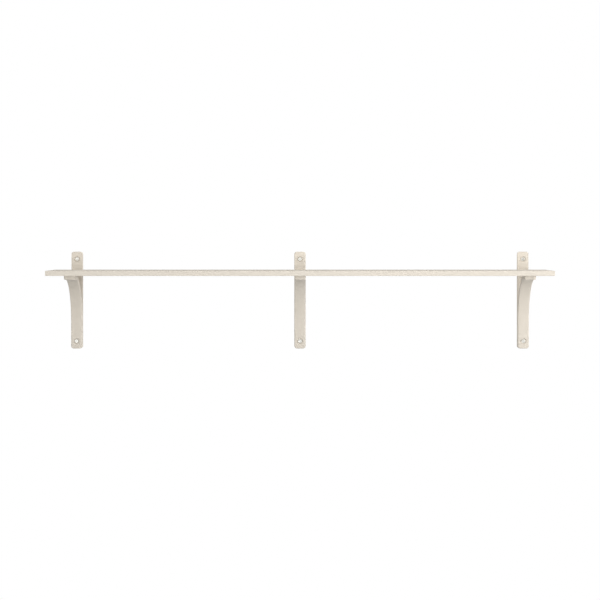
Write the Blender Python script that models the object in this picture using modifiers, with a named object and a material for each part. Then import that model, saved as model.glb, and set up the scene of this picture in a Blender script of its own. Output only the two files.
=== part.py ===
"""A wall shelf: one board on three bent wood brackets, with the screws that hold it together.

Lengths are metres. +Z is up and X runs along the board. The wall is the plane y = 0, and the shelf
stands out from it towards -Y. The origin is on the wall behind the middle bracket, level with the
top of the board. Left and right are as a person facing the shelf sees them.
"""

from math import cos, pi, radians, sin

import bmesh
import bpy

MM = 0.001
GAP = 0.3 * MM  # between pieces that touch

# The board
BOARD_LENGTH = 1500 * MM
BOARD_DEPTH = 200 * MM
BOARD_THICKNESS = 15 * MM
BOARD_EASING = 1.2 * MM  # radius along every edge

# The brackets: each is a back plate on the wall, and a bent arm on the plate's front
BRACKET_SPACING = 682 * MM
BRACKET_SIDES = {"left": -1, "center": 0, "right": 1}
END_RADIUS = 8 * MM  # corners of the plate's ends, and of the arm's lower end
PLATE_WIDTH = 35 * MM
PLATE_THICKNESS = 8 * MM
PLATE_TOP = 55 * MM
PLATE_BOTTOM = -241 * MM
PLATE_FACE_RADIUS = 2 * MM  # rounding around the face that looks away from the wall
PLATE_BACK_RADIUS = 0.8 * MM

# The arm is a straight strip, bent through a quarter circle
ARM_WIDTH = 34 * MM
ARM_THICKNESS = 12 * MM
ARM_BEND_RADIUS = 135 * MM  # of the face that looks forward and down
ARM_BEND_STEPS = 24
ARM_LEVEL_LENGTH = 21 * MM  # the flat stretch under the board, past the bend
ARM_FACE_RADIUS = 3 * MM
ARM_TIP_RADIUS = 4.5 * MM
ARM_BACK_RADIUS = 1.5 * MM
ARM_FRONT = -PLATE_THICKNESS - GAP - ARM_THICKNESS  # of the leg, on the plate
BEND_CENTER_Z = -BOARD_THICKNESS - GAP - ARM_THICKNESS - ARM_BEND_RADIUS
BEND_CENTER_Y = ARM_FRONT - ARM_BEND_RADIUS
ARM_LEG_LENGTH = BEND_CENTER_Z - PLATE_BOTTOM
ARM_BEND_LENGTH = ARM_BEND_RADIUS * pi / 2
ARM_LENGTH = ARM_LEG_LENGTH + ARM_BEND_LENGTH + ARM_LEVEL_LENGTH

# Where the screws go, from the bracket's own middle line
WALL_SCREW_INSET = 23 * MM  # from each end of the plate
ARM_SCREW_HEIGHTS = {"lower": -196 * MM, "upper": -172 * MM}
BOARD_SCREW_OFFSETS = {"a": -8 * MM, "b": 8 * MM}
BOARD_SCREW_Y = BEND_CENTER_Y - ARM_LEVEL_LENGTH / 2

# The screws. A head is pan (domed, on a flat seat) or flat (a 90 degree cone, sunk flush).
WALL_SCREW = {"radius": 3 * MM, "length": 50 * MM, "head_radius": 6 * MM, "pan_height": 2.6 * MM,
              "drive": 5 * MM, "drive_depth": 1.6 * MM, "sides": 20, "bore_sides": 36}
BOARD_SCREW = {"radius": 2 * MM, "length": 20 * MM, "head_radius": 4 * MM, "pan_height": 0,
               "drive": 3.8 * MM, "drive_depth": 1.4 * MM, "sides": 12, "bore_sides": 24}
ARM_SCREW = {"radius": 1.75 * MM, "length": 15 * MM, "head_radius": 3.5 * MM, "pan_height": 0,
             "drive": 3.2 * MM, "drive_depth": 1.2 * MM, "sides": 12, "bore_sides": 24}
WALL_RECESS_RADIUS = 8.7 * MM  # the round recess that a wall screw's head lies in
WALL_RECESS_DEPTH = 2 * MM
MOUTH_EASING = 0.6 * MM  # the bevel around the recess's mouth
HEAD_SINK = 0.4 * MM  # how far a flat head lies below the wood
FLAT_HEAD_RIM = 0.3 * MM
CUTTER_REACH = 6 * MM  # how far a cutter runs past the face that it cuts
DRIVE_POINTS = 12
DRIVE_LOBES = 6
DRIVE_WAVE = 0.14  # a lobe's height, as a share of the drive's radius

# Finishes: linear colour, roughness, metallic
PAINTED_WOOD = ((0.66, 0.58, 0.48, 1), 0.55, 0)
BRIGHT_STEEL = ((0.72, 0.71, 0.68, 1), 0.32, 1)

SMOOTH_ANGLE = radians(32)
MERGE = 0.00001


def clear_scene():
    for obj in list(bpy.data.objects):
        bpy.data.objects.remove(obj, do_unlink=True)


def new_collection(name):
    collection = bpy.data.collections.new(name)
    bpy.context.scene.collection.children.link(collection)
    return collection


def new_finish(name, finish):
    colour, roughness, metallic = finish
    material = bpy.data.materials.new(name + "_finish")
    material.use_nodes = True
    shader = material.node_tree.nodes["Principled BSDF"]
    shader.inputs["Base Color"].default_value = colour
    shader.inputs["Roughness"].default_value = roughness
    shader.inputs["Metallic"].default_value = metallic
    return material


def new_part(name, mesh, finish, parent=None):
    """An object in the shelf's collection, with a material of its own."""
    obj = bpy.data.objects.new(name, mesh)
    parts.objects.link(obj)
    mesh.materials.append(new_finish(name, finish))
    obj.parent = parent
    return obj


def new_cutter(name, mesh, parent):
    obj = bpy.data.objects.new(name + "_cutter", mesh)
    cutters.objects.link(obj)
    obj.parent = parent
    obj.hide_render = True
    obj.display_type = "WIRE"
    return obj


def cut(obj, cutter):
    boolean = obj.modifiers.new(cutter.name, "BOOLEAN")
    boolean.operation = "DIFFERENCE"
    boolean.solver = "EXACT"
    boolean.object = cutter


def mesh_from(bm, name):
    bmesh.ops.recalc_face_normals(bm, faces=bm.faces)
    mesh = bpy.data.meshes.new(name)
    bm.to_mesh(mesh)
    bm.free()
    mesh.shade_smooth()
    mesh.set_sharp_from_angle(angle=SMOOTH_ANGLE)
    return mesh


def box(low, high):
    """A bmesh box between two corners."""
    bm = bmesh.new()
    bmesh.ops.create_cube(bm, size=1)
    for vertex in bm.verts:
        for axis in range(3):
            middle = (low[axis] + high[axis]) / 2
            vertex.co[axis] = middle + vertex.co[axis] * (high[axis] - low[axis])
    return bm


def round_edges(bm, edges, radius, segments):
    bmesh.ops.bevel(bm, geom=edges, offset=radius, segments=segments, profile=0.5, affect="EDGES")


def corner_edges(bm, z):
    """The edges at height z that run straight through the thickness of a slab."""
    return [
        edge for edge in bm.edges
        if all(abs(v.co.z - z) < MERGE for v in edge.verts)
        and abs(edge.verts[0].co.y - edge.verts[1].co.y) > MERGE
    ]


def outline_edges(bm, y):
    """The edges around the face of a slab that lies at depth y."""
    return [edge for edge in bm.edges if all(abs(v.co.y - y) < MERGE for v in edge.verts)]


def upright_slab(size, top_radius, face_radius, back_radius):
    """A slab with its front at y = 0, its foot at z = 0 and its corners and edges rounded."""
    width, thickness, length = size
    bm = box((-width / 2, 0, 0), (width / 2, thickness, length))
    round_edges(bm, corner_edges(bm, 0), END_RADIUS, 8)
    round_edges(bm, corner_edges(bm, length), top_radius, 8)
    round_edges(bm, outline_edges(bm, 0), face_radius, 5)
    round_edges(bm, outline_edges(bm, thickness), back_radius, 2)
    return bm


def bend_strip(bm):
    """Bends an upright strip into the arm's shape, in place.

    The strip is first cut across at every step of the bend. Its leg then stays upright, the next
    stretch wraps a quarter circle about a level axis, and what is left lies flat under the board.
    """
    for step in range(ARM_BEND_STEPS + 1):
        height = ARM_LEG_LENGTH + ARM_BEND_LENGTH * step / ARM_BEND_STEPS
        bmesh.ops.bisect_plane(
            bm, geom=bm.verts[:] + bm.edges[:] + bm.faces[:],
            plane_co=(0, 0, height), plane_no=(0, 0, 1), dist=MERGE,
        )
    for vertex in bm.verts:
        past_leg = vertex.co.z - ARM_LEG_LENGTH
        angle = min(max(past_leg, 0), ARM_BEND_LENGTH) / ARM_BEND_RADIUS
        radius = ARM_BEND_RADIUS + vertex.co.y
        level = max(past_leg - ARM_BEND_LENGTH, 0)
        vertex.co.y = BEND_CENTER_Y + radius * cos(angle) - level
        vertex.co.z = BEND_CENTER_Z + min(past_leg, 0) + radius * sin(angle)


def turned(obj, steps):
    """Turns a profile in the XZ plane about Z."""
    screw = obj.modifiers.new("turned", "SCREW")
    screw.axis = "Z"
    screw.steps = steps
    screw.render_steps = steps
    screw.use_merge_vertices = True
    screw.merge_threshold = MERGE
    screw.use_smooth_shade = True


def profile_mesh(name, points):
    """An open profile of (radius, height) points, from the axis at the top to the axis at the foot."""
    mesh = bpy.data.meshes.new(name)
    edges = [(i, i + 1) for i in range(len(points) - 1)]
    mesh.from_pydata([(radius, 0, height) for radius, height in points], edges, [])
    return mesh


def screw_profile(spec):
    """A screw standing on its tip: a pan head's seat or a flat head's top is at height 0."""
    radius = spec["radius"]
    length = spec["length"]
    head = spec["head_radius"]
    pan = spec["pan_height"]
    point = 2 * radius  # length of the tapered tip
    if pan:
        top = [(0, pan), (0.62 * head, pan), (0.86 * head, 0.84 * pan), (head, 0.45 * pan), (head, 0)]
    else:
        top = [(0, 0), (head, 0), (head, -FLAT_HEAD_RIM)]
    neck = [(radius, top[-1][1] - (0 if pan else head - radius))]
    return top + neck + [(radius, point - length), (0.15 * radius, -length), (0, -length)]


def bore_profile(spec):
    """The hole for a screw: its shank and seat with clearance, and open above the head."""
    radius = spec["radius"] + GAP
    tip = -spec["length"] - GAP
    if spec["pan_height"]:
        surface = WALL_RECESS_DEPTH - GAP
        mouth = WALL_RECESS_RADIUS + MOUTH_EASING
        rise = CUTTER_REACH - surface
        seat = [(0, CUTTER_REACH), (mouth + rise, CUTTER_REACH),
                (WALL_RECESS_RADIUS, surface - MOUTH_EASING), (WALL_RECESS_RADIUS, -GAP)]
        neck = (radius, -GAP)
    else:
        head = spec["head_radius"] + GAP
        seat = [(0, CUTTER_REACH), (head, CUTTER_REACH), (head, -FLAT_HEAD_RIM)]
        neck = (radius, -FLAT_HEAD_RIM - head + radius)
    return seat + [neck, (radius, tip), (0, tip)]


def drive_mesh(name, spec):
    """A six-lobed prism for the drive in a screw's head."""
    top = spec["pan_height"]
    depth = spec["drive_depth"]
    bm = bmesh.new()
    bmesh.ops.create_cone(
        bm, cap_ends=True, segments=DRIVE_POINTS, radius1=1, radius2=1, depth=2 * depth,
    )
    for index, vertex in enumerate(bm.verts):
        turn = index // 2 * 2 * pi / DRIVE_POINTS
        lobe = 1 - DRIVE_WAVE + DRIVE_WAVE * cos(DRIVE_LOBES * turn)
        vertex.co.x *= lobe * spec["drive"] / 2
        vertex.co.y *= lobe * spec["drive"] / 2
        vertex.co.z += top
    return mesh_from(bm, name)


def add_screw(name, spec, parent, location, rotation, pieces):
    """A screw with its driven head, and its hole in each piece that it goes through."""
    screw = new_part(name, profile_mesh(name, screw_profile(spec)), BRIGHT_STEEL, parent)
    turned(screw, spec["sides"])
    drive = new_cutter(name + "_drive", drive_mesh(name + "_drive", spec), parent)
    bore = new_cutter(name + "_bore", profile_mesh(name + "_bore", bore_profile(spec)), parent)
    turned(bore, spec["bore_sides"])
    for obj in (screw, drive, bore):
        obj.location = location
        obj.rotation_euler = rotation
    cut(screw, drive)
    for piece in pieces:
        cut(piece, bore)


def add_board():
    half = BOARD_LENGTH / 2
    back = -PLATE_THICKNESS - GAP
    bm = box((-half, back - BOARD_DEPTH, -BOARD_THICKNESS), (half, back, 0))
    round_edges(bm, bm.edges[:], BOARD_EASING, 3)
    return new_part("shelf_board", mesh_from(bm, "shelf_board"), PAINTED_WOOD)


def add_bracket(side, direction, board):
    middle = bpy.data.objects.new("bracket_" + side, None)
    parts.objects.link(middle)
    middle.location.x = direction * BRACKET_SPACING

    # The plate, upright on the wall
    name = "back_plate_" + side
    size = (PLATE_WIDTH, PLATE_THICKNESS, PLATE_TOP - PLATE_BOTTOM)
    slab = upright_slab(size, END_RADIUS, PLATE_FACE_RADIUS, PLATE_BACK_RADIUS)
    plate = new_part(name, mesh_from(slab, name), PAINTED_WOOD, middle)
    plate.location = (0, -PLATE_THICKNESS, PLATE_BOTTOM)

    # The arm, which stands on the plate's front with its leg
    name = "bent_arm_" + side
    size = (ARM_WIDTH, ARM_THICKNESS, ARM_LENGTH)
    strip = upright_slab(size, ARM_TIP_RADIUS, ARM_FACE_RADIUS, ARM_BACK_RADIUS)
    bend_strip(strip)
    arm = new_part(name, mesh_from(strip, name), PAINTED_WOOD, middle)

    # Two screws through the bracket into the wall: the lower one goes through the arm's leg as well
    head_depth = WALL_RECESS_DEPTH - GAP
    head_forward = (pi / 2, 0, 0)
    upper = (0, head_depth - PLATE_THICKNESS, PLATE_TOP - WALL_SCREW_INSET)
    lower = (0, head_depth + ARM_FRONT, PLATE_BOTTOM + WALL_SCREW_INSET)
    add_screw("wall_screw_upper_" + side, WALL_SCREW, middle, upper, head_forward, [plate])
    add_screw("wall_screw_lower_" + side, WALL_SCREW, middle, lower, head_forward, [plate, arm])

    # Two screws from behind, through the plate into the arm's leg
    head_back = (-pi / 2, 0, 0)
    for level, height in ARM_SCREW_HEIGHTS.items():
        place = (0, -HEAD_SINK, height)
        add_screw(f"arm_screw_{level}_{side}", ARM_SCREW, middle, place, head_back, [plate, arm])

    # Two screws from below, through the arm's level end into the board
    head_down = (pi, 0, 0)
    under_arm = BEND_CENTER_Z + ARM_BEND_RADIUS + HEAD_SINK
    for letter, across in BOARD_SCREW_OFFSETS.items():
        place = (across, BOARD_SCREW_Y, under_arm)
        add_screw(f"board_screw_{letter}_{side}", BOARD_SCREW, middle, place, head_down, [arm, board])


clear_scene()
parts = new_collection("wall_shelf")
cutters = new_collection("cutters")
shelf_board = add_board()
for bracket_side, bracket_direction in BRACKET_SIDES.items():
    add_bracket(bracket_side, bracket_direction, shelf_board)
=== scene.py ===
"""The look of a painted wall shelf on bent wood brackets.

The wood pieces are the CAD's own, with finer shading and a painted finish whose grain follows each
piece, round the bend of the arms too. The screws are made again here, with rolled threads, domed or
countersunk heads and six-lobe drives. Lengths are metres, in the CAD's frame: +Z is up, the wall is
the plane y = 0, and the shelf stands out from it towards -Y.
"""

from math import cos, pi, radians, sin

import bmesh
import bpy
from mathutils import Matrix, Vector


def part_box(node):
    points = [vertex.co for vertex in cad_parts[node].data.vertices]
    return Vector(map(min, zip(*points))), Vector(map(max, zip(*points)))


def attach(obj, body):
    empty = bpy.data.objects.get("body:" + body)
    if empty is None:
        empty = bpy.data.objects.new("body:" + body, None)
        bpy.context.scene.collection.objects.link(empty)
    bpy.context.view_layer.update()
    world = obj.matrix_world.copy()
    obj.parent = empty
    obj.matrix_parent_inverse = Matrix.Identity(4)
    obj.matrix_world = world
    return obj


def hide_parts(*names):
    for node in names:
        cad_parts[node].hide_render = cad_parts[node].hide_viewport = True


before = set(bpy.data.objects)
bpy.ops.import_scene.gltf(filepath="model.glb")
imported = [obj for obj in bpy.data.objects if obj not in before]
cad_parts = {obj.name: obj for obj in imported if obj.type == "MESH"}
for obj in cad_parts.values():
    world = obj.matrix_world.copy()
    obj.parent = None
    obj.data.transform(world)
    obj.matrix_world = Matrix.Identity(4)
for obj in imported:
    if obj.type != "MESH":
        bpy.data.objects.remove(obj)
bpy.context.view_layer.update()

MM = 0.001
BODY = "root"
WHITE = (1, 1, 1, 1)
SHARP_ANGLE = radians(30)  # edges that turn further than this stay sharp

# Places that the frame gives
board_low, board_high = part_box("shelf_board")
plate_low, plate_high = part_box("back_plate_center")
arm_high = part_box("bent_arm_center")[1]

# The arms' bend, as in the CAD: a strip 12 mm thick, bent to 135 mm on its front
STRIP_THICKNESS = 12 * MM
BEND_RADIUS = 135 * MM
BEND_CENTER_Y = arm_high.y - STRIP_THICKNESS - BEND_RADIUS
BEND_CENTER_Z = arm_high.z - STRIP_THICKNESS - BEND_RADIUS


# ---------------------------------------------------------------------------------- node building
MIX_INPUTS, MIX_OUTPUT = (0, 6, 7), 2  # a Mix node's factor and two colours, and what comes out
EDGE_SAMPLES = 4
# How far a rounded normal still agrees with the true one, where an edge begins and where it is full
EDGE_BEGINS, EDGE_IS_FULL = 0.995, 0.86


class Shading:
    """A material and short calls for the nodes that it is made of."""

    def __init__(self, name):
        self.material = bpy.data.materials.new(name)
        self.material.use_nodes = True
        self.tree = self.material.node_tree
        self.shader = self.tree.nodes["Principled BSDF"]

    def node(self, kind, inputs=(), **settings):
        """A node with its settings, and its inputs set or joined by position or name."""
        made = self.tree.nodes.new(kind)
        for name, value in settings.items():
            setattr(made, name, value)
        pairs = inputs.items() if isinstance(inputs, dict) else enumerate(inputs)
        for key, value in pairs:
            self.give(made.inputs[key], value)
        return made

    def give(self, socket, value):
        if isinstance(value, bpy.types.NodeSocket):
            self.tree.links.new(value, socket)
        elif value is not None:
            socket.default_value = value

    def math(self, operation, a, b=None):
        return self.node("ShaderNodeMath", (a, b), operation=operation).outputs[0]

    def position(self):
        """The point on the surface, in the frame's own metres."""
        return self.node("ShaderNodeTexCoord").outputs["Object"]

    def stretched(self, vector, scale):
        return self.node("ShaderNodeVectorMath", (vector, scale), operation="MULTIPLY").outputs[0]

    def noise(self, vector, scale, detail=2.0, roughness=0.5):
        inputs = {"Vector": vector, "Scale": scale, "Detail": detail, "Roughness": roughness}
        return self.node("ShaderNodeTexNoise", inputs).outputs["Fac"]

    def ranged(self, value, low, high, to_low=0.0, to_high=1.0):
        """value, from low..high, carried over to to_low..to_high and kept inside it."""
        inputs = (value, low, high, to_low, to_high)
        return self.node("ShaderNodeMapRange", inputs).outputs[0]

    def mixed(self, share, a, b):
        """A mix of two colours."""
        made = self.node("ShaderNodeMix", data_type="RGBA")
        for place, value in zip(MIX_INPUTS, (share, a, b)):
            self.give(made.inputs[place], value)
        return made.outputs[MIX_OUTPUT]

    def edge_mask(self, radius):
        """1 along edges and corners that turn within radius, and 0 on flat ground."""
        rounded = self.node("ShaderNodeBevel", {"Radius": radius}, samples=EDGE_SAMPLES).outputs[0]
        true = self.node("ShaderNodeNewGeometry").outputs["Normal"]
        agreed = self.node("ShaderNodeVectorMath", (rounded, true), operation="DOT_PRODUCT")
        return self.ranged(agreed.outputs["Value"], EDGE_BEGINS, EDGE_IS_FULL)

    def bump(self, height, distance, strength, under=None):
        inputs = {"Height": height, "Distance": distance, "Strength": strength, "Normal": under}
        return self.node("ShaderNodeBump", inputs).outputs[0]


# ---------------------------------------------------------------------------------- paint
PAINT_BASE = (0.660, 0.606, 0.527, 1)
PAINT_PALE = (0.676, 0.624, 0.546, 1)
PAINT_DEEP = (0.641, 0.587, 0.508, 1)
PAINT_PORE = (0.560, 0.505, 0.430, 1)
# Paler paint on rounded edges: partly worn, thin paint, partly a painted sheen where the rounding
# catches the light
PAINT_EDGE = (0.712, 0.664, 0.588, 1)
# Marks to a metre: across the grain twice and along it, or the same every way
FIGURE = (42, 42, 1.7)
FIBRES = (820, 820, 14)
PORES = (1500, 1500, 120)
MOTTLE = 60.0
PEEL = 950.0
FIBRE_DEPTH = 0.22 * MM
PORE_DEPTH = 0.05 * MM
PEEL_DEPTH = 0.10 * MM
PAINT_EDGE_WIDTH = 1.8 * MM


def along_x(s):
    """The point as (across, across, along) the grain of a board that lies along X."""
    parts = s.node("ShaderNodeSeparateXYZ", (s.position(),)).outputs
    return s.node("ShaderNodeCombineXYZ", (parts["Y"], parts["Z"], parts["X"])).outputs[0]


def along_z(s):
    """As along_x, for an upright piece: its grain already lies along the frame's Z."""
    return s.position()


def along_arm(s):
    """As along_x, for the bent strip: up its leg, round the quarter circle and along the level."""
    parts = s.node("ShaderNodeSeparateXYZ", (s.position(),)).outputs
    y = s.math("SUBTRACT", parts["Y"], BEND_CENTER_Y)
    z = s.math("SUBTRACT", parts["Z"], BEND_CENTER_Z)
    y_bend = s.math("MAXIMUM", y, 0.0)
    z_bend = s.math("MAXIMUM", z, 0.0)
    angle = s.math("ARCTAN2", z_bend, y_bend)
    wrapped = s.math("MULTIPLY", angle, BEND_RADIUS)
    leg = s.math("MINIMUM", z, 0.0)
    level = s.math("MINIMUM", y, 0.0)
    along = s.math("SUBTRACT", s.math("ADD", wrapped, leg), level)
    squares = s.math("ADD", s.math("MULTIPLY", y_bend, y_bend), s.math("MULTIPLY", z_bend, z_bend))
    depth = s.math("SQRT", squares)
    return s.node("ShaderNodeCombineXYZ", (parts["X"], depth, along)).outputs[0]


def make_paint(name, grain_space):
    """Matte paint on fine-grained wood, whose figure, fibres and pores show faintly through it,
    paler on rounded edges from wear and a painted sheen.
    """
    s = Shading(name)
    point = s.position()
    grain = grain_space(s)
    figure = s.noise(s.stretched(grain, FIGURE), 1.0, detail=3.0, roughness=0.55)
    fibres = s.noise(s.stretched(grain, FIBRES), 1.0, detail=3.0, roughness=0.6)
    pores = s.noise(s.stretched(grain, PORES), 1.0, detail=1.0)
    mottle = s.noise(point, MOTTLE, detail=4.0, roughness=0.6)
    peel = s.noise(point, PEEL, detail=2.0, roughness=0.4)
    edge = s.edge_mask(PAINT_EDGE_WIDTH)

    open_pore = s.ranged(pores, 0.66, 0.76)
    tone = s.mixed(s.ranged(figure, 0.36, 0.62), PAINT_DEEP, PAINT_BASE)
    tone = s.mixed(s.ranged(mottle, 0.40, 0.75, 0.0, 0.75), tone, PAINT_PALE)
    tone = s.mixed(s.ranged(fibres, 0.52, 0.74, 0.0, 0.9), tone, PAINT_DEEP)
    tone = s.mixed(s.math("MULTIPLY", open_pore, 0.55), tone, PAINT_PORE)
    # Rounded edges painted paler in patches: partly wear, partly a painted sheen, not lamp light
    worn_edge_and_sheen = s.math("MULTIPLY", edge, s.ranged(mottle, 0.34, 0.58, 0.15, 1.0))
    tone = s.mixed(s.math("MULTIPLY", worn_edge_and_sheen, 0.6), tone, PAINT_EDGE)
    s.give(s.shader.inputs["Base Color"], tone)

    rough = s.ranged(mottle, 0.25, 0.75, 0.44, 0.60)
    rough = s.math("SUBTRACT", rough, s.math("MULTIPLY", worn_edge_and_sheen, 0.10))
    s.give(s.shader.inputs["Roughness"], rough)
    s.shader.inputs["Specular IOR Level"].default_value = 0.42

    normal = s.bump(fibres, FIBRE_DEPTH, 0.5)
    normal = s.bump(s.math("SUBTRACT", 1.0, open_pore), PORE_DEPTH, 0.5, normal)
    normal = s.bump(peel, PEEL_DEPTH, 0.35, normal)
    s.give(s.shader.inputs["Normal"], normal)
    return s.material


# ---------------------------------------------------------------------------------- steel
STEEL_BRIGHT = (0.80, 0.79, 0.75, 1)
STEEL_DULL = (0.68, 0.67, 0.63, 1)
STEEL_WARM = (0.75, 0.72, 0.63, 1)
# Marks to a metre: rings about the axis, and patches and grit every way
RINGS = 3200
PATCHES = 420.0
GRIT = 3000.0
RING_DEPTH = 0.05 * MM
GRIT_DEPTH = 0.015 * MM
STEEL_EDGE_WIDTH = 0.3 * MM


def make_steel(name):
    """Zinc on rolled steel: turned rings about the screw's axis, and plating that varies."""
    s = Shading(name)
    point = s.position()
    parts = s.node("ShaderNodeSeparateXYZ", (point,)).outputs
    flat = s.node("ShaderNodeCombineXYZ", (parts["X"], parts["Y"], 0.0)).outputs[0]
    radius = s.node("ShaderNodeVectorMath", (flat,), operation="LENGTH").outputs["Value"]
    rings = s.noise(s.node("ShaderNodeCombineXYZ", (radius, 0.0, 0.0)).outputs[0], RINGS, detail=2.0)
    patch = s.noise(point, PATCHES, detail=3.0)
    grit = s.noise(point, GRIT, detail=2.0)
    edge = s.edge_mask(STEEL_EDGE_WIDTH)

    tone = s.mixed(s.ranged(patch, 0.35, 0.65), STEEL_DULL, STEEL_BRIGHT)
    tone = s.mixed(s.ranged(rings, 0.45, 0.70, 0.0, 0.6), tone, STEEL_DULL)
    tone = s.mixed(s.ranged(grit, 0.55, 0.75, 0.0, 0.5), tone, STEEL_WARM)
    tone = s.mixed(s.math("MULTIPLY", edge, 0.6), tone, STEEL_BRIGHT)
    s.give(s.shader.inputs["Base Color"], tone)
    s.shader.inputs["Metallic"].default_value = 1.0
    rough = s.ranged(patch, 0.30, 0.70, 0.44, 0.56)
    rough = s.math("SUBTRACT", rough, s.math("MULTIPLY", edge, 0.12))
    s.give(s.shader.inputs["Roughness"], rough)
    normal = s.bump(rings, RING_DEPTH, 0.4)
    normal = s.bump(grit, GRIT_DEPTH, 0.3, normal)
    s.give(s.shader.inputs["Normal"], normal)
    return s.material


# ---------------------------------------------------------------------------------- wood pieces
WELD_DISTANCE = 0.01 * MM
LARGE_FACES_FIRST = 100  # how much a large face counts for the normals of its edges


def sharp_edges_group():
    """A geometry node group that shades smooth, and keeps edges over SHARP_ANGLE sharp."""
    group = bpy.data.node_groups.new("sharp_edges", "GeometryNodeTree")
    group.is_modifier = True
    for direction in ("INPUT", "OUTPUT"):
        group.interface.new_socket("Geometry", in_out=direction, socket_type="NodeSocketGeometry")
    entry = group.nodes.new("NodeGroupInput")
    end = group.nodes.new("NodeGroupOutput")
    faces = group.nodes.new("GeometryNodeSetShadeSmooth")
    edges = group.nodes.new("GeometryNodeSetShadeSmooth")
    edges.domain = "EDGE"
    edges.inputs["Shade Smooth"].default_value = False
    angle = group.nodes.new("GeometryNodeInputMeshEdgeAngle")
    over = group.nodes.new("ShaderNodeMath")
    over.operation = "GREATER_THAN"
    over.inputs[1].default_value = SHARP_ANGLE
    group.links.new(entry.outputs[0], faces.inputs["Geometry"])
    group.links.new(faces.outputs[0], edges.inputs["Geometry"])
    group.links.new(angle.outputs["Unsigned Angle"], over.inputs[0])
    group.links.new(over.outputs[0], edges.inputs["Selection"])
    group.links.new(edges.outputs[0], end.inputs[0])
    return group


def dress_wood(node, material):
    """Gives a CAD piece its paint, and shading that rolls over its rounded edges."""
    node.data.materials.clear()
    node.data.materials.append(material)
    weld = node.modifiers.new("weld", "WELD")
    weld.merge_threshold = WELD_DISTANCE
    sharp = node.modifiers.new("sharp_edges", "NODES")
    sharp.node_group = sharp_edges
    even = node.modifiers.new("even_normals", "WEIGHTED_NORMAL")
    even.keep_sharp = True
    even.weight = LARGE_FACES_FIRST


sharp_edges = sharp_edges_group()
board_paint = make_paint("board_paint", along_x)
plate_paint = make_paint("plate_paint", along_z)
arm_paint = make_paint("arm_paint", along_arm)
dress_wood(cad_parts["shelf_board"], board_paint)
for side in ("left", "center", "right"):
    dress_wood(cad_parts["back_plate_" + side], plate_paint)
    dress_wood(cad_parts["bent_arm_" + side], arm_paint)

# ---------------------------------------------------------------------------------- screws
AROUND = 32  # steps around a screw
MERGE_DISTANCE = 0.002 * MM
OWN_TURN = 37  # degrees from one screw to the next: each stopped turning at an angle of its own

PAN_RIM = 0.3  # a pan head's upright rim, as a share of its height
PAN_CURVE = 0.4  # under 1, for a dome that is flat on top and drops steeply to its rim
PAN_STEPS = range(0, 91, 10)  # degrees over the dome
PAN_EASE = 0.06 * MM
FLAT_EASE = 0.12 * MM
FLAT_RIM = 0.3 * MM

SHANK_END = 0.8 * MM  # over which the shank narrows to the thread's core
# One turn of a thread: (share of the pitch, share of the thread's height)
THREAD_TURN = ((0.0, 0.0), (0.28, 0.0), (0.47, 1.0), (0.53, 1.0), (0.72, 0.0))
POINT_LENGTH = 3.2  # core radii
TIP_RADIUS = 0.15 * MM

DRIVE_STEPS = 48
DRIVE_LOBES = 6
DRIVE_WAVE = 0.14
DRIVE_TURN = radians(2)  # keeps the socket's corners off the head's own edges, for a clean cut
DRIVE_CONE = 1.25  # the depth of the socket's middle, as a share of its walls'

# shank and core are radii. Threads start below the head by plain, measured from the head's top.
WALL_SCREW = {"pan": 2.6 * MM, "shank": 2.2 * MM, "core": 1.95 * MM, "thread": 2.95 * MM,
              "pitch": 2.8 * MM, "plain": 18 * MM, "drive": 2.5 * MM, "drive_depth": 1.8 * MM}
BOARD_SCREW = {"pan": 0, "shank": 1.5 * MM, "core": 1.3 * MM, "thread": 1.95 * MM,
               "pitch": 1.8 * MM, "plain": 5 * MM, "drive": 1.9 * MM, "drive_depth": 1.5 * MM}
ARM_SCREW = {"pan": 0, "shank": 1.3 * MM, "core": 1.1 * MM, "thread": 1.7 * MM,
             "pitch": 1.6 * MM, "plain": 4 * MM, "drive": 1.6 * MM, "drive_depth": 1.3 * MM}


def head_profile(spec, radius):
    """(radius, height) points of a head, from its middle to its neck, its top at height 0."""
    if spec["pan"]:
        rim = (PAN_RIM - 1) * spec["pan"]
        dome = [
            (radius * sin(t) ** PAN_CURVE, rim * (1 - cos(t) ** PAN_CURVE))
            for t in map(radians, PAN_STEPS)
        ]
        seat = -spec["pan"]
        return dome + [(radius, seat + PAN_EASE), (radius - PAN_EASE, seat), (spec["shank"], seat)]
    neck = -FLAT_RIM - (radius - spec["shank"])
    return [(0, 0), (radius - FLAT_EASE, 0), (radius - FLAT_EASE / 3, -FLAT_EASE / 3),
            (radius, -FLAT_EASE), (radius, -FLAT_RIM), (spec["shank"], neck)]


def add_rings(bm, profile):
    """Turns (radius, height) points about Z. A point on the axis is closed by merging later."""
    rings = [
        [bm.verts.new((r * cos(2 * pi * k / AROUND), r * sin(2 * pi * k / AROUND), z))
         for k in range(AROUND)]
        for r, z in profile
    ]
    for upper, lower in zip(rings, rings[1:]):
        for k in range(AROUND):
            after = (k + 1) % AROUND
            bm.faces.new((upper[k], upper[after], lower[after], lower[k]))


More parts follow.
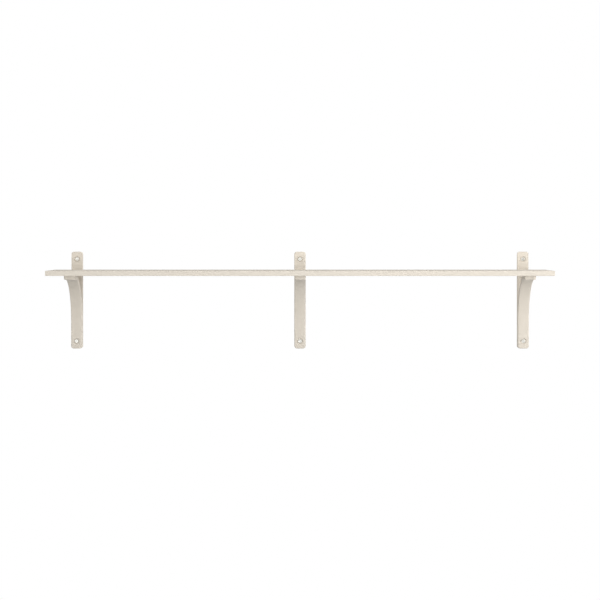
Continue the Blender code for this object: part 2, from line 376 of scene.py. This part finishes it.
def add_thread(bm, spec, top, foot):
    """A right-handed thread on a core that tapers to a point, from height top down to foot."""
    pitch = spec["pitch"]
    taper = POINT_LENGTH * spec["core"]
    height = spec["thread"] - spec["core"]
    turn_points = len(THREAD_TURN)

    def point(step, place):
        share, rise = THREAD_TURN[place]
        z = top + pitch * (1 - step / AROUND - share)
        fade = min(max((top - z) / pitch, 0), 1)
        z = min(max(z, foot), top)
        slim = min((z - foot) / taper, 1)
        core = TIP_RADIUS + (spec["core"] - TIP_RADIUS) * slim
        radius = core + height * rise * fade * min(slim * 2, 1) * min((z - foot) / pitch * 2, 1)
        angle = 2 * pi * step / AROUND
        return bm.verts.new((radius * cos(angle), radius * sin(angle), z))

    steps = int(((top - foot) / pitch + 3) * AROUND)
    grid = [[point(step, place) for place in range(turn_points)] for step in range(steps + 1)]
    for step in range(steps - AROUND):
        for place in range(turn_points):
            if place + 1 < turn_points:
                corners = (grid[step][place], grid[step + 1][place],
                           grid[step + 1][place + 1], grid[step][place + 1])
            else:
                corners = (grid[step][place], grid[step + 1][place],
                           grid[step + 1 + AROUND][0], grid[step + AROUND][0])
            bm.faces.new(corners)
    for vertex in [vertex for vertex in bm.verts if not vertex.link_faces]:
        bm.verts.remove(vertex)


def screw_mesh(name, spec, radius, length):
    """A whole screw along -Z, with its head's top at the origin."""
    bm = bmesh.new()
    profile = head_profile(spec, radius)
    start = -spec["plain"]
    profile += [(spec["shank"], start + SHANK_END), (spec["core"], start)]
    add_rings(bm, profile)
    add_thread(bm, spec, start, -length)
    bmesh.ops.remove_doubles(bm, verts=bm.verts, dist=MERGE_DISTANCE)
    open_edges = [edge for edge in bm.edges if edge.is_boundary]
    bmesh.ops.holes_fill(bm, edges=open_edges, sides=AROUND)
    bmesh.ops.recalc_face_normals(bm, faces=bm.faces)
    mesh = bpy.data.meshes.new(name)
    bm.to_mesh(mesh)
    bm.free()
    return mesh


def drive_cutter(spec):
    """The six-lobed socket that a driver fits, with a conical floor."""
    bm = bmesh.new()
    rings = []
    for z in (spec["drive_depth"], -spec["drive_depth"]):
        ring = []
        for k in range(DRIVE_STEPS):
            turn = 2 * pi * k / DRIVE_STEPS + DRIVE_TURN
            r = spec["drive"] * (1 - DRIVE_WAVE + DRIVE_WAVE * cos(DRIVE_LOBES * turn))
            ring.append(bm.verts.new((r * cos(turn), r * sin(turn), z)))
        rings.append(ring)
    floor = bm.verts.new((0, 0, -DRIVE_CONE * spec["drive_depth"]))
    bm.faces.new(rings[0])
    for k in range(DRIVE_STEPS):
        after = (k + 1) % DRIVE_STEPS
        bm.faces.new((rings[0][k], rings[0][after], rings[1][after], rings[1][k]))
        bm.faces.new((rings[1][k], rings[1][after], floor))
    bmesh.ops.recalc_face_normals(bm, faces=bm.faces)
    mesh = bpy.data.meshes.new("drive")
    bm.to_mesh(mesh)
    bm.free()
    return mesh


def finished_screw(name, spec, radius, length):
    """The screw's mesh with its drive cut in, and smooth shading between sharp edges."""
    blank = bpy.data.objects.new(name, screw_mesh(name, spec, radius, length))
    cutter = bpy.data.objects.new("drive", drive_cutter(spec))
    for obj in (blank, cutter):
        bpy.context.scene.collection.objects.link(obj)
    socket = blank.modifiers.new("drive", "BOOLEAN")
    socket.operation = "DIFFERENCE"
    socket.solver = "EXACT"
    socket.object = cutter
    graph = bpy.context.evaluated_depsgraph_get()
    mesh = bpy.data.meshes.new_from_object(blank.evaluated_get(graph))
    mesh.name = name
    for obj in (blank, cutter):
        bpy.data.objects.remove(obj)
    mesh.shade_smooth()
    mesh.set_sharp_from_angle(angle=SHARP_ANGLE)
    mesh.materials.clear()
    mesh.materials.append(steel)
    return mesh


steel = make_steel("zinc_steel")
# Each kind's name, its shape and the way that its heads face
SCREW_KINDS = (
    ("wall_screw", WALL_SCREW, Vector((0, -1, 0))),
    ("arm_screw", ARM_SCREW, Vector((0, 1, 0))),
    ("board_screw", BOARD_SCREW, Vector((0, 0, -1))),
)


def add_screws(kind, spec, facing):
    """A detailed screw in the place of each CAD screw of this kind, all from one mesh."""
    names = sorted(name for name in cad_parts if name.startswith(kind))
    low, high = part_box(names[0])
    size = high - low
    length = abs(size.dot(facing))
    radius = size.x / 2
    mesh = finished_screw(kind + "_shape", spec, radius, length)
    turn = facing.to_track_quat("Z", "Y")
    for index, name in enumerate(names):
        low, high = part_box(name)
        screw = bpy.data.objects.new(name + "_fine", mesh)
        bpy.context.scene.collection.objects.link(screw)
        head = (low + high) / 2 + facing * length / 2
        own_turn = Matrix.Rotation(radians(OWN_TURN * index), 4, "Z")
        screw.matrix_world = Matrix.Translation(head) @ turn.to_matrix().to_4x4() @ own_turn
        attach(screw, BODY)
        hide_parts(name)


for screw_kind, screw_spec, head_facing in SCREW_KINDS:
    add_screws(screw_kind, screw_spec, head_facing)

# ---------------------------------------------------------------------------------- studio
FLOOR_DROP = 1.0  # from the brackets' feet to the floor
FLOOR_RADIUS = 4.0
FLOOR_SIDES = 96
FLOOR_GREY = 0.55
FLOOR_ROUGHNESS = 0.9
FLOOR_GLOW = 0.03
# The room's glow from each side: (axis, sign, strength), which fades to nothing at a right angle
ROOM_GLOW = (("X", -1, 1.03), ("X", 1, 1.05), ("Z", 1, 0.15), ("Y", 1, 0.13), ("Y", -1, 0.09))
# name: (place, size, watts, the reflections that it makes: "all", or only "diffuse" or "glossy")
SOFTBOXES = {
    "front_softbox": ((0, -5.5, 0.2), (2.5, 2.0), 16, "all"),
    "left_softbox": ((-1.5, -4.9, -0.4), (1.2, 1.2), 31, "all"),
    "key_softbox": ((2.4, -3.2, 0.0), (1.6, 1.6), 41, "diffuse"),
    "side_softbox": ((3.2, -1.8, 0.3), (1.6, 1.6), 34, "all"),
    "top_softbox": ((0.3, -0.9, 2.4), (2.4, 1.4), 27, "all"),
    "back_softbox": ((0.9, 3.8, -0.1), (1.6, 1.6), 34, "diffuse"),
    "front_card": ((-0.5, -5.3, -0.4), (1.9, 1.5), 30, "glossy"),
}
SUBJECT_MIDDLE = Vector((0, -0.118, -0.05))  # which every softbox faces


def mix_shaders(tree, share, first, second):
    """first where share is 0, and second where it is 1."""
    mix = tree.nodes.new("ShaderNodeMixShader")
    for socket, source in zip(mix.inputs, (share, first, second)):
        tree.links.new(source, socket)
    return mix.outputs[0]


def white_to_the_camera(tree, unseen, kind):
    """unseen, which lights the scene, mixed with plain white of this kind where the camera looks."""
    white = tree.nodes.new(kind)
    white.inputs["Color"].default_value = WHITE
    looked_at = tree.nodes.new("ShaderNodeLightPath").outputs["Is Camera Ray"]
    return mix_shaders(tree, looked_at, unseen, white.outputs[0])


def make_floor():
    """A pale disc below the shelf, white to the camera and clear from below."""
    bm = bmesh.new()
    bmesh.ops.create_circle(bm, cap_ends=True, radius=FLOOR_RADIUS, segments=FLOOR_SIDES)
    mesh = bpy.data.meshes.new("floor")
    bm.to_mesh(mesh)
    bm.free()
    floor = bpy.data.objects.new("floor", mesh)
    floor.location = (0, board_low.y / 2, plate_low.z - FLOOR_DROP)
    bpy.context.scene.collection.objects.link(floor)
    material = bpy.data.materials.new("pale_floor")
    material.use_nodes = True
    tree = material.node_tree
    shader = tree.nodes["Principled BSDF"]
    shader.inputs["Base Color"].default_value = (FLOOR_GREY, FLOOR_GREY, FLOOR_GREY, 1)
    shader.inputs["Roughness"].default_value = FLOOR_ROUGHNESS
    shader.inputs["Specular IOR Level"].default_value = 0
    shader.inputs["Emission Color"].default_value = WHITE
    shader.inputs["Emission Strength"].default_value = FLOOR_GLOW
    top = white_to_the_camera(tree, shader.outputs[0], "ShaderNodeEmission")
    # From below, the floor is clear, so that the shelf's underside can be looked at
    below = tree.nodes.new("ShaderNodeNewGeometry").outputs["Backfacing"]
    clear = tree.nodes.new("ShaderNodeBsdfTransparent").outputs[0]
    surface = mix_shaders(tree, below, top, clear)
    tree.links.new(surface, tree.nodes["Material Output"].inputs["Surface"])
    mesh.materials.append(material)


def make_world():
    """A soft white room, brightest at its left and right."""
    world = bpy.data.worlds.new("studio")
    bpy.context.scene.world = world
    world.use_nodes = True
    tree = world.node_tree
    tree.nodes.clear()
    output = tree.nodes.new("ShaderNodeOutputWorld")
    room = tree.nodes.new("ShaderNodeBackground")
    room.inputs["Color"].default_value = WHITE
    direction = tree.nodes.new("ShaderNodeTexCoord").outputs["Generated"]
    axes = tree.nodes.new("ShaderNodeSeparateXYZ")
    tree.links.new(direction, axes.inputs[0])
    total = None
    for axis, sign, strength in ROOM_GLOW:
        part = tree.nodes.new("ShaderNodeMath")
        part.operation = "MULTIPLY"
        part.use_clamp = True
        tree.links.new(axes.outputs[axis], part.inputs[0])
        part.inputs[1].default_value = sign
        share = tree.nodes.new("ShaderNodeMath")
        share.operation = "MULTIPLY_ADD"
        tree.links.new(part.outputs[0], share.inputs[0])
        share.inputs[1].default_value = strength
        share.inputs[2].default_value = 0
        if total:
            tree.links.new(total, share.inputs[2])
        total = share.outputs[0]
    tree.links.new(total, room.inputs["Strength"])
    surface = white_to_the_camera(tree, room.outputs[0], "ShaderNodeBackground")
    tree.links.new(surface, output.inputs["Surface"])


def add_softbox(name, place, size, power, reflections):
    """A rectangle of light that the camera doesn't see."""
    light = bpy.data.lights.new(name, "AREA")
    light.shape = "RECTANGLE"
    light.size, light.size_y = size
    light.energy = power
    obj = bpy.data.objects.new(name, light)
    bpy.context.scene.collection.objects.link(obj)
    obj.location = place
    obj.rotation_euler = (SUBJECT_MIDDLE - obj.location).to_track_quat("-Z", "Y").to_euler()
    obj.visible_camera = False
    obj.visible_diffuse = reflections != "glossy"
    obj.visible_glossy = reflections != "diffuse"


make_floor()
make_world()
for softbox_name, softbox in SOFTBOXES.items():
    add_softbox(softbox_name, *softbox)

# ---------------------------------------------------------------------------------- camera
CAMERA_DISTANCE = 4.9  # in front of the board's front edge
CAMERA_HEIGHT = 0.095  # above the board's top
LENS = 100  # mm, on a sensor 36 mm wide
SENSOR_WIDTH = 36
camera = bpy.data.objects.new("camera", bpy.data.cameras.new("camera"))
bpy.context.scene.collection.objects.link(camera)
camera.data.sensor_width = SENSOR_WIDTH
camera.data.lens = LENS
camera.location = (0, board_low.y - CAMERA_DISTANCE, board_high.z + CAMERA_HEIGHT)
camera.rotation_euler = (radians(90), 0, 0)
# It looks straight ahead, so that upright edges stay upright, and the shift brings the shelf
# to the middle of the picture
drop = camera.location.z - (plate_low.z + plate_high.z) / 2
reach = plate_low.y - camera.location.y
camera.data.shift_y = -drop / reach * LENS / SENSOR_WIDTH
bpy.context.scene.camera = camera
bpy.context.scene.view_settings.view_transform = "Standard"
